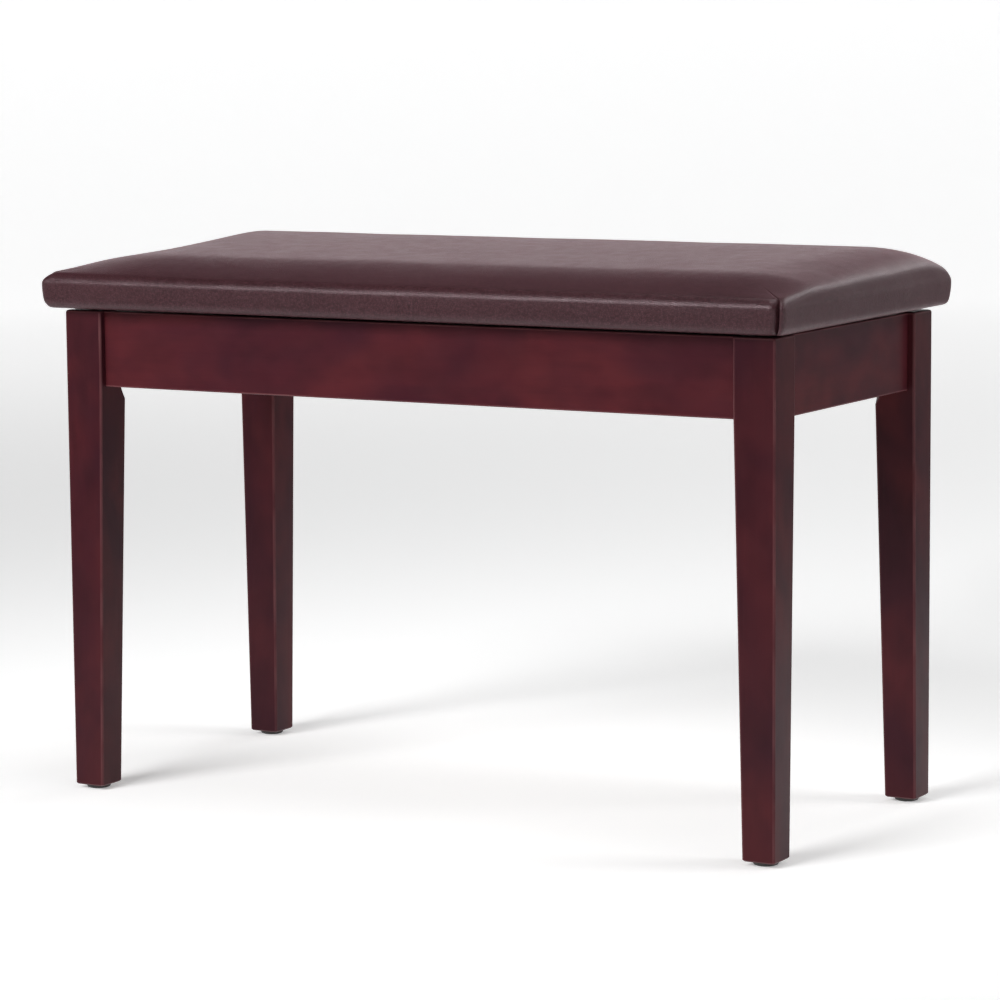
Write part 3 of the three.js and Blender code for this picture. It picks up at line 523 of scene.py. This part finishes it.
def crease_drop(corner, distance, inset, groove):
    """How far a point near a corner's crease sinks: a rounded slope down to it and a sharp lip behind it."""
    fade = 1 - float(smoothstep(inset, 5, CREASE_LENGTH[corner]))
    if distance <= 0:
        shape = 1 - math.sqrt(max(0.0, 1 - max(0.0, 1 + distance / 2.4) ** 2))
    else:
        shape = max(0.0, 1 - distance / 0.62) ** 1.5
    return groove * (0.35 + 0.65 * fade) * fade * 1.7 * MM * shape


def cushion_points(fine, height=1.0):
    """Rings from under the board's edge, round the band and crest, to the middle of the crown. A height below
    1 presses the crown down."""
    rings = []

    def add(inset, z, fold=0.0, groove=0.0):
        points, tags = ring(inset * MM, fold, fine)
        z = z(points) if callable(z) else np.full(len(points), z * MM)
        rings.append((points, z, tags, inset, groove))

    def rolled(share, base=0.0):
        # The wrapped edge hangs a little lower along the front than along the hinge side.
        def z(p):
            front_left = np.exp(-(HALF_X + p[:, 0]) / (130 * MM)) * (0.5 - 0.5 * p[:, 1] / HALF_Y)
            sag = (1.25 - 0.75 * p[:, 1] / HALF_Y + 0.7 * front_left) * MM
            return base * MM - share * sag
        return z

    inner = [(150, 1.2), (95, 1.2), (50, 1.2), (28.3, 1.2), (28, .1), (24, 0), (19, 0)]
    for inset, z in inner if fine else inner[::2]:
        add(inset, z)
    roll = [(15.5, .15, 0, 0), (13, .5, 0, .15), (10.5, .85, 0, .4), (8.3, 1, 0, .7), (6.3, .95, 0, .9),
            (4.7, .65, .1, 1), (3.5, .2, .5, 1)]
    for inset, share, base, fold in roll if fine else roll[::2]:
        add(inset, rolled(share, base), fold)
    band = [(2.6, 1.5), (1.9, 2.9), (1.4, 4.6), (1.0, 7.0), (.65, 10), (.35, 12.8), (.12, 16.2),
            (0, BAND_TOP)]
    for inset, z in band if fine else band[::2]:
        add(inset, z, 1.0)
    reach, lean = 8.0, 3.6
    bezier = np.arange(1, 11) / 11 if fine else np.array([.3, .65])

    def crest_z(s):
        def z(p):
            # Each point's own crest runs from the band straight up to the crown's slope behind it.
            q8, q10 = ring(reach * MM, 0, fine)[0], ring((reach + 2) * MM, 0, fine)[0]
            z8, z10 = crown(q8), crown(q10)
            slope = (z10 - z8) / 2
            z0 = BAND_TOP * MM
            z1 = z0 + 0.42 * (z8 - z0)
            z2 = z8 - slope * lean
            return (1 - s) ** 3 * z0 + 3 * (1 - s) ** 2 * s * z1 + 3 * (1 - s) * s * s * z2 + s ** 3 * z8
        return z

    for s in bezier:
        inset = 3 * (1 - s) * s * s * (reach - lean) + s ** 3 * reach
        add(inset, crest_z(s), float(1 - smoothstep(s, 0.15, 0.95)), float(smoothstep(s, 0.3, 0.8)))
    top = [9.0, 12, 15, 18.5, 22.5, 27, 32, 38, 45, 53, 62, 72, 83, 95, 107, 119, 131, 143, 154, 163, 170,
           174.5, 177.2]
    for inset in top if fine else top[::2] + [177.2]:
        add(inset, crown, 0.0, 1.0)

    out = []
    for points, z, tags, inset, groove in rings:
        z = z.copy()
        if fine and groove > 0:
            for k, (corner, distance) in enumerate(tags):
                if corner >= 0:
                    z[k] -= crease_drop(corner, distance, inset, groove)
        if height != 1.0:
            z = np.where(z > PRESSED_ABOVE, PRESSED_ABOVE + (z - PRESSED_ABOVE) * height, z)
        out.append(np.column_stack([points, UNDER_Z + z]))
    return out


def cushion_mesh(name, fine, height=1.0):
    rings = cushion_points(fine, height)
    count = len(rings[0])
    verts = np.concatenate(rings)
    faces = []
    for i in range(len(rings) - 1):
        for j in range(count):
            k = (j + 1) % count
            faces.append((i * count + j, i * count + k, (i + 1) * count + k, (i + 1) * count + j))
    # Both ends are closed by a ladder of faces from the back half of the loop to its mirror image, the front.
    arc, short = (len(ARC), 45) if fine else (len(COARSE_ARC), 23)
    opposite = 2 * arc + short - 1
    first, top = arc + short // 2, (len(rings) - 1) * count
    for j in range(first, first + count // 2):
        a, b, c, d = j % count, (j + 1) % count, (opposite - j - 1) % count, (opposite - j) % count
        rung = [v for k, v in enumerate((a, b, c, d)) if v not in (a, b, c, d)[:k]]
        faces.append(tuple(reversed(rung)))
        faces.append(tuple(top + v for v in rung))
    return new_object(name, verts, faces)


def vertices(obj):
    co = np.empty(len(obj.data.vertices) * 3)
    obj.data.vertices.foreach_get("co", co)
    return co.reshape(-1, 3)


PRESSED_HEIGHT = 0.985
LAST_FRAME = 20
MOVE_CAP = 3.0 * MM


def swell():
    """Cloth simulation of the cover under the padding's pressure. Returns rest points and their movement."""
    pad = cushion_mesh("cover_simulation", False, PRESSED_HEIGHT)
    start = vertices(pad)
    held = pad.vertex_groups.new(name="held")
    for i, point in enumerate(start):
        level = point[2] - UNDER_Z
        weight = 1.0 if level < 3 * MM else float(1 - smoothstep(level, 3 * MM, 12 * MM)) * 0.6
        if weight > 0:
            held.add([i], weight, "REPLACE")
    sim = pad.modifiers.new("cloth", "CLOTH")
    st = sim.settings
    st.quality = 6
    st.mass = 0.4
    st.tension_stiffness = st.compression_stiffness = 30
    st.shear_stiffness = 20
    st.bending_stiffness = 4
    st.tension_damping = st.compression_damping = 12
    st.use_pressure = True
    st.uniform_pressure_force = 4.0
    st.effector_weights.gravity = 0.0
    st.vertex_group_mass = "held"
    sim.collision_settings.use_collision = False
    sim.point_cache.frame_start, sim.point_cache.frame_end = 1, LAST_FRAME
    for number in range(1, LAST_FRAME + 1):
        scene.frame_set(number)
    done = pad.evaluated_get(bpy.context.evaluated_depsgraph_get())
    co = np.empty(len(start) * 3)
    done.data.vertices.foreach_get("co", co)
    # Movement is measured from the full-height shape, so where the cover settles back to it nothing changes.
    full = np.concatenate(cushion_points(False, 1.0))
    moved = co.reshape(-1, 3) - full
    length = np.linalg.norm(moved, axis=1)
    moved *= (np.minimum(length, MOVE_CAP) / np.maximum(length, 1e-9))[:, None]
    data = pad.data
    bpy.data.objects.remove(pad)
    bpy.data.meshes.remove(data)
    scene.frame_set(1)
    return full, moved


def carried(rest, moved, points):
    """The movement of the simulated cover at other points, from the five nearest of its own."""
    tree = KDTree(len(rest))
    for i, point in enumerate(rest):
        tree.insert(point, i)
    tree.balance()
    shift = np.zeros_like(points)
    for i, point in enumerate(points):
        near = tree.find_n(point, 5)
        weights = np.array([1 / (d + 0.0015) ** 2 for _, _, d in near])
        shift[i] = (moved[[n for _, n, _ in near]] * weights[:, None]).sum(0) / weights.sum()
    return shift


def pull_by_hand(co):
    """A covering is never dead straight: slow waves, some tenths of a millimetre high, over crown and band."""
    x, y, z = co[:, 0], co[:, 1], co[:, 2]
    above = smoothstep(z - UNDER_Z, 4 * MM, 20 * MM)
    wave = np.sin(x * 38 + 1.3 * np.sin(y * 21 + 0.7)) * 0.5
    wave = wave + np.sin(x * 71 + y * 34 + 2.0) * 0.3 + np.sin(y * 63 - x * 17 + 0.4) * 0.3
    co[:, 2] += above * wave * 0.22 * MM
    edge_y = smoothstep(np.abs(y), HALF_Y - 14 * MM, HALF_Y - 1 * MM)
    in_y = 0.25 + 0.25 * np.sin(x * 47 + 0.9) + 0.15 * np.sin(x * 113)
    co[:, 1] -= np.sign(y) * edge_y * above * in_y * MM
    edge_x = smoothstep(np.abs(x), HALF_X - 14 * MM, HALF_X - 1 * MM)
    in_x = 0.22 + 0.22 * np.sin(y * 52 + 2.1)
    co[:, 0] -= np.sign(x) * edge_x * above * in_x * MM


def subdivide(obj):
    finer = obj.modifiers.new("finer", "SUBSURF")
    finer.levels = finer.render_levels = 1
    bpy.context.view_layer.objects.active = obj
    with bpy.context.temp_override(object=obj, active_object=obj, selected_objects=[obj]):
        bpy.ops.object.modifier_apply(modifier="finer")


def make_cushion():
    obj = cushion_mesh("cushion_cover", True)
    co = vertices(obj)
    rest, moved = swell()
    co += carried(rest, moved, co)
    print("cover moved up to", round(float(np.abs(moved).max()) / MM, 2), "mm")
    pull_by_hand(co)
    obj.data.vertices.foreach_set("co", co.ravel())
    obj.data.update()
    subdivide(obj)
    shade_smooth(obj.data)
    paint(obj, leatherette())
    return obj


cushion = make_cushion()
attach(cushion, "lid")
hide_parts("seat_cover", "seat_foam")

# ---------------------------------------------------------------- dust cover under the lid
dust_low, dust_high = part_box("dust_cover")
STAPLE_PITCH_X, STAPLE_PITCH_Y = 0.0476, 0.046
TUCK_PITCH_X, TUCK_PITCH_Y = 0.0159, 0.0153


def dust_sheet():
    """Thin black cloth, pulled tight along its stapled edges and hanging a millimetre loose in the middle."""
    nx, ny, half_thick = 150, 70, 0.25 * MM
    half_x, half_y = dust_high.x, dust_high.y
    gx, gy = np.meshgrid(np.linspace(-1, 1, nx + 1), np.linspace(-1, 1, ny + 1), indexing="ij")
    x, y = gx * half_x, gy * half_y
    # Between staples the cut edge draws in a little, and small tucks run in from it.
    x = x - np.sign(gx) * np.abs(gx) ** 12 * (0.35 + 0.35 * np.cos(y * 2 * math.pi / STAPLE_PITCH_Y)) * MM
    y = y - np.sign(gy) * np.abs(gy) ** 8 * (0.35 + 0.35 * np.cos(x * 2 * math.pi / STAPLE_PITCH_X)) * MM
    from_x, from_y = half_x - np.abs(x), half_y - np.abs(y)
    loose = smoothstep(from_x, 62 * MM, 130 * MM) * smoothstep(from_y, 44 * MM, 100 * MM)
    tuck = np.cos(y * 2 * math.pi / TUCK_PITCH_Y) * np.exp(-from_x / 0.012)
    tuck = tuck + np.cos(x * 2 * math.pi / TUCK_PITCH_X) * np.exp(-from_y / 0.012)
    ripple = np.sin(x * 41 + 2.2 * np.sin(y * 26)) * 0.25 + np.sin(y * 57 + x * 19) * 0.2
    z = (dust_low.z + dust_high.z) / 2 - loose * (1.0 + ripple) * MM - np.clip(tuck, -1, 1) * 0.12 * MM
    top = np.stack([x, y, z + half_thick], -1).reshape(-1, 3)
    below = np.stack([x, y, z - half_thick], -1).reshape(-1, 3)
    count, row = len(top), ny + 1
    faces = []
    for i in range(nx):
        for j in range(ny):
            a, b, c, d = i * row + j, (i + 1) * row + j, (i + 1) * row + j + 1, i * row + j + 1
            faces += [(a, b, c, d), (count + d, count + c, count + b, count + a)]
    rim = [i * row for i in range(nx)] + [nx * row + j for j in range(ny)]
    rim += [i * row + ny for i in range(nx, 0, -1)] + [j for j in range(ny, 0, -1)]
    for k, a in enumerate(rim):
        b = rim[(k + 1) % len(rim)]
        faces.append((b, a, count + a, count + b))
    obj = new_object("dust_cover_cloth", np.concatenate([top, below]), faces)
    shade_smooth(obj.data)
    return obj


dust = dust_sheet()
paint(dust, cloth("dust_cloth", (0.013, 0.013, 0.014), 0.0011))
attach(dust, "lid")
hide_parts("dust_cover")

STAPLE_OUTLINE = [(-5.4, .5), (-5.1, -.15), (-4.5, -.4), (4.5, -.4), (5.1, -.15), (5.4, .5), (4.4, .5),
                  (-4.4, .5)]
STAPLE_HALF_WIDTH = 0.45


def dust_staples():
    """Wire staples round the cloth's edge, their crowns along it, none where the hinge leaves lie."""
    verts, faces = [], []
    inset_x, inset_y = dust_high.x - 6 * MM, dust_high.y - 6 * MM
    along_x, along_y = np.arange(-7, 8) * STAPLE_PITCH_X, np.arange(-3, 4) * STAPLE_PITCH_Y
    places = [(x, side * inset_y, 0.0) for side in (-1, 1) for x in along_x]
    places += [(side * inset_x, y, math.pi / 2) for side in (-1, 1) for y in along_y]
    for i, (px, py, turn) in enumerate(places):
        if py > 0.15 and 0.190 < abs(px) < 0.270:
            continue
        turn += 0.14 * math.sin(i * 2.7)
        along = Vector((math.cos(turn), math.sin(turn), 0))
        across = Vector((-math.sin(turn), math.cos(turn), 0))
        base = Vector((px, py, dust_low.z + 0.15 * MM))
        start, n = len(verts), len(STAPLE_OUTLINE)
        for side in (-STAPLE_HALF_WIDTH, STAPLE_HALF_WIDTH):
            edge = base + across * (side * MM)
            verts += [edge + along * (u * MM) + Vector((0, 0, w * MM)) for u, w in STAPLE_OUTLINE]
        faces += [tuple(start + k for k in range(n)), tuple(start + n + k for k in reversed(range(n)))]
        faces += [(start + (k + 1) % n, start + k, start + n + k, start + n + (k + 1) % n) for k in range(n)]
    return new_object("dust_cover_staples", verts, faces)


staples = dust_staples()
paint(staples, zinc)
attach(staples, "lid")


# ---------------------------------------------------------------- screws and brads
HEAD_SIDES = 16
# Shares of a head's radius and height.
DOME = [(1.0, -0.15), (1.0, 0.3), (0.93, 0.62), (0.75, 0.86), (0.56, 0.97)]
CROSS = [0.5, 0.2, 0.14, 0.2] * 4


def heads(name, body, material, places, radius, height, recess=True):
    """Low domed heads, usually with a cross recess, at (point, outward direction, turn of the recess)."""
    verts, faces, n = [], [], HEAD_SIDES
    rings = [([share] * n, level) for share, level in DOME]
    if recess:
        rings += [(CROSS, 1.0), ([r * 0.8 for r in CROSS], 0.35)]
    for point, out, turn in places:
        turned = Vector(out).to_track_quat("Z", "Y")
        start = len(verts)
        for radii, level in rings:
            for k, r in enumerate(radii):
                a = 2 * math.pi * k / n + turn
                ray = Vector((r * radius * math.cos(a), r * radius * math.sin(a), level * height))
                verts.append(Vector(point) + turned @ ray)
        for i in range(len(rings) - 1):
            for k in range(n):
                a, b = start + i * n + k, start + i * n + (k + 1) % n
                faces.append((a, b, b + n, a + n))
        faces.append(tuple(start + k for k in reversed(range(n))))
        faces.append(tuple(start + (len(rings) - 1) * n + k for k in range(n)))
    obj = new_object(name, verts, faces)
    paint(obj, material)
    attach(obj, body)


for side in ("left", "right"):
    low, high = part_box("hinge_leaf_fixed_" + side)
    lid_low, lid_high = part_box("hinge_leaf_lid_" + side)
    middle = (low.x + high.x) / 2
    knuckle = high.y - 7.6 * MM
    thick = 1.3 * MM
    fixed = (low.y + knuckle) / 2, low.z + thick
    moving = (lid_low.y + knuckle) / 2, lid_high.z - thick
    heads("hinge_screws_fixed_" + side, "bench_frame", brass,
          [((middle + o * MM, *fixed), (0, 0, 1), 0.7 * o) for o in (-20, 0, 20)], 3.0 * MM, 1.2 * MM)
    heads("hinge_screws_lid_" + side, "lid", brass,
          [((middle + o * MM, *moving), (0, 0, -1), 0.4 * o) for o in (-20, 0, 20)], 3.0 * MM, 1.2 * MM)

low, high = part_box("stay_lid_bracket")
plate = Vector((high.x - 11 * MM, (low.y + high.y) / 2, high.z - 1.5 * MM))
heads("stay_bracket_screws", "lid", zinc,
      [(plate + Vector((0, o * MM, 0)), (0, 0, -1), 0.5 * o) for o in (-12, 12)], 3.6 * MM, 1.3 * MM)

# The track's screws stand on its middle line, which falls towards the front.
TRACK_LINE_Y, TRACK_LINE_Z, TRACK_SLOPE = 0.1588, 0.4439, math.radians(10)
track_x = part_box("stay_track")[0].x + 1.15 * MM
track_places = []
for d in (.07, .14, .205):
    point = (track_x, TRACK_LINE_Y - d * math.cos(TRACK_SLOPE), TRACK_LINE_Z - d * math.sin(TRACK_SLOPE))
    track_places.append((point, (1, 0, 0), d * 40))
heads("stay_track_screws", "bench_frame", zinc, track_places, 2.4 * MM, 0.25 * MM)

for corner in CORNER_NAMES:
    low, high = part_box("corner_block_" + corner)
    sx, sy = corner_signs(corner)
    centre = (low + high) / 2
    along = Vector((sx, -sy, 0)) * DIAGONAL * MM
    out = Vector((-sx, -sy, 0)).normalized()
    heads("corner_block_screws_" + corner, "bench_frame", zinc,
          [(centre + along * o, out, 0.3 * o) for o in (-27, 27)], 3.8 * MM, 1.4 * MM)

BRAD_X, BRAD_Y, BRAD_Z = 0.3212, 0.1247, 0.3791
brads = []
for side in (-1, 1):
    for x in np.arange(-3, 4) * 0.098:
        brads.append(((x, side * BRAD_Y, BRAD_Z), (0, -side, 0), 0.0))
    for y in (-0.092, 0.0, 0.092):
        brads.append(((side * BRAD_X, y, BRAD_Z), (-side, 0, 0), 0.0))
heads("cleat_brads", "bench_frame", zinc, brads, 1.3 * MM, 0.35 * MM, recess=False)

# ---------------------------------------------------------------- studio
# The studio is left dimmer on this side and opposite, and pale everywhere else.
SHADE_AZIMUTH = math.radians(150.0)
PALE, DIM = (0.86, 0.86, 0.86), (0.31, 0.31, 0.31)
GLOW_NEAR, GLOW_FAR, DIM_GLOW = 0.32, 0.66, 0.27
FLOOR_RINGS = (1.2, 2.4, 3.6, 4.8, 5.8)
WALL_DISTANCE, WALL_TOP, SWEEP_RADIUS = 7.2, 2.3, 1.4
SWEEP_STEPS = 12


def cyclorama():
    """A floor that sweeps up into a wall all round, so that no edge of it shows from any side."""
    profile = [(0.0, 0.0)] + [(r, 0.0) for r in FLOOR_RINGS]
    for k in range(1, SWEEP_STEPS + 1):
        a = math.radians(90.0 * k / SWEEP_STEPS)
        r = WALL_DISTANCE - SWEEP_RADIUS + SWEEP_RADIUS * math.sin(a)
        profile.append((r, SWEEP_RADIUS - SWEEP_RADIUS * math.cos(a)))
    profile.append((WALL_DISTANCE, WALL_TOP))
    sides = 96
    verts, faces = [(0.0, 0.0, 0.0)], []
    for r, z in profile[1:]:
        for k in range(sides):
            a = 2 * math.pi * k / sides
            verts.append((r * math.cos(a), r * math.sin(a), z))
    for k in range(sides):
        faces.append((0, 1 + k, 1 + (k + 1) % sides))
    for i in range(len(profile) - 2):
        for k in range(sides):
            n = (k + 1) % sides
            inner, outer = 1 + i * sides, 1 + (i + 1) * sides
            faces.append((inner + k, outer + k, outer + n, inner + n))
    obj = new_object("cyclorama", verts, faces)
    shade_smooth(obj.data)
    paint(obj, backdrop_paper())


def backdrop_paper():
    """Pale paper with a faint glow of its own, both weaker in the two dim directions."""
    m, t, s = new_material("backdrop_paper")
    where = node(t, "ShaderNodeSeparateXYZ", {0: object_position(t)})
    x, y = where.outputs[0], where.outputs[1]
    far = math_node(t, "SQRT", plus(t, times(t, x, x), times(t, y, y)))
    turn = math_node(t, "ARCTAN2", x, times(t, y, -1.0))
    lobe = math_node(t, "COSINE", times(t, math_node(t, "SUBTRACT", turn, SHADE_AZIMUTH), 2.0))
    dim = remap(t, lobe, 0.24, 0.85, kind="SMOOTHSTEP")
    away = remap(t, far, 0.8, 2.0, kind="SMOOTHSTEP")
    on_wall = remap(t, far, 4.6, 6.4, 1.0, 0.7, kind="SMOOTHSTEP")
    dim = times(t, times(t, dim, away), on_wall)
    ramp = remap(t, far, 0.6, 4.6, GLOW_NEAR, GLOW_FAR, kind="SMOOTHSTEP")
    set_inputs(s, {"Specular IOR Level": 0.0, "Emission Color": (1, 1, 1, 1), "Roughness": 0.9})
    t.links.new(mix_colour(t, dim, PALE, DIM), s.inputs["Base Color"])
    t.links.new(times(t, ramp, remap(t, dim, 0.0, 1.0, 1.0, DIM_GLOW)), s.inputs["Emission Strength"])
    return m


cyclorama()

world = bpy.data.worlds.new("studio")
scene.world = world
world.use_nodes = True
world.node_tree.nodes["Background"].inputs["Color"].default_value = (0.96, 0.97, 1.0, 1)
world.node_tree.nodes["Background"].inputs["Strength"].default_value = 0.05


def softbox(name, place, aim, width, height, power, spread=180):
    """A rectangular light that points at aim; the camera doesn't see it."""
    data = bpy.data.lights.new(name, "AREA")
    data.shape = "RECTANGLE"
    data.size, data.size_y = width, height
    data.energy = power
    data.spread = math.radians(spread)
    obj = bpy.data.objects.new(name, data)
    scene.collection.objects.link(obj)
    obj.location = place
    obj.rotation_mode = "QUATERNION"
    obj.rotation_quaternion = (Vector(place) - Vector(aim)).to_track_quat("Z", "Y")
    obj.visible_camera = False


softbox("overhead", (0.3, 0.1, 2.6), (0.0, 0.0, 0.2), 1.6, 1.2, 19)
softbox("key", (-0.75, -2.3, 1.75), (-0.2, 0.0, 0.30), 1.5, 1.1, 10.5, spread=60)
softbox("side", (2.35, 0.95, 2.0), (0.1, 0.0, 0.3), 1.0, 1.0, 20)
softbox("panel", (0.35, 3.4, 2.0), (0.1, 0.0, 0.45), 1.8, 1.2, 3.5)
softbox("strip", (0.50, 2.6, 1.9), (0.37, 0.0, 0.49), 0.5, 0.3, 4.5)

scene.view_settings.view_transform = "Standard"
scene.view_settings.look = "None"
scene.view_settings.exposure = 0.0
scene.view_settings.gamma = 1.0
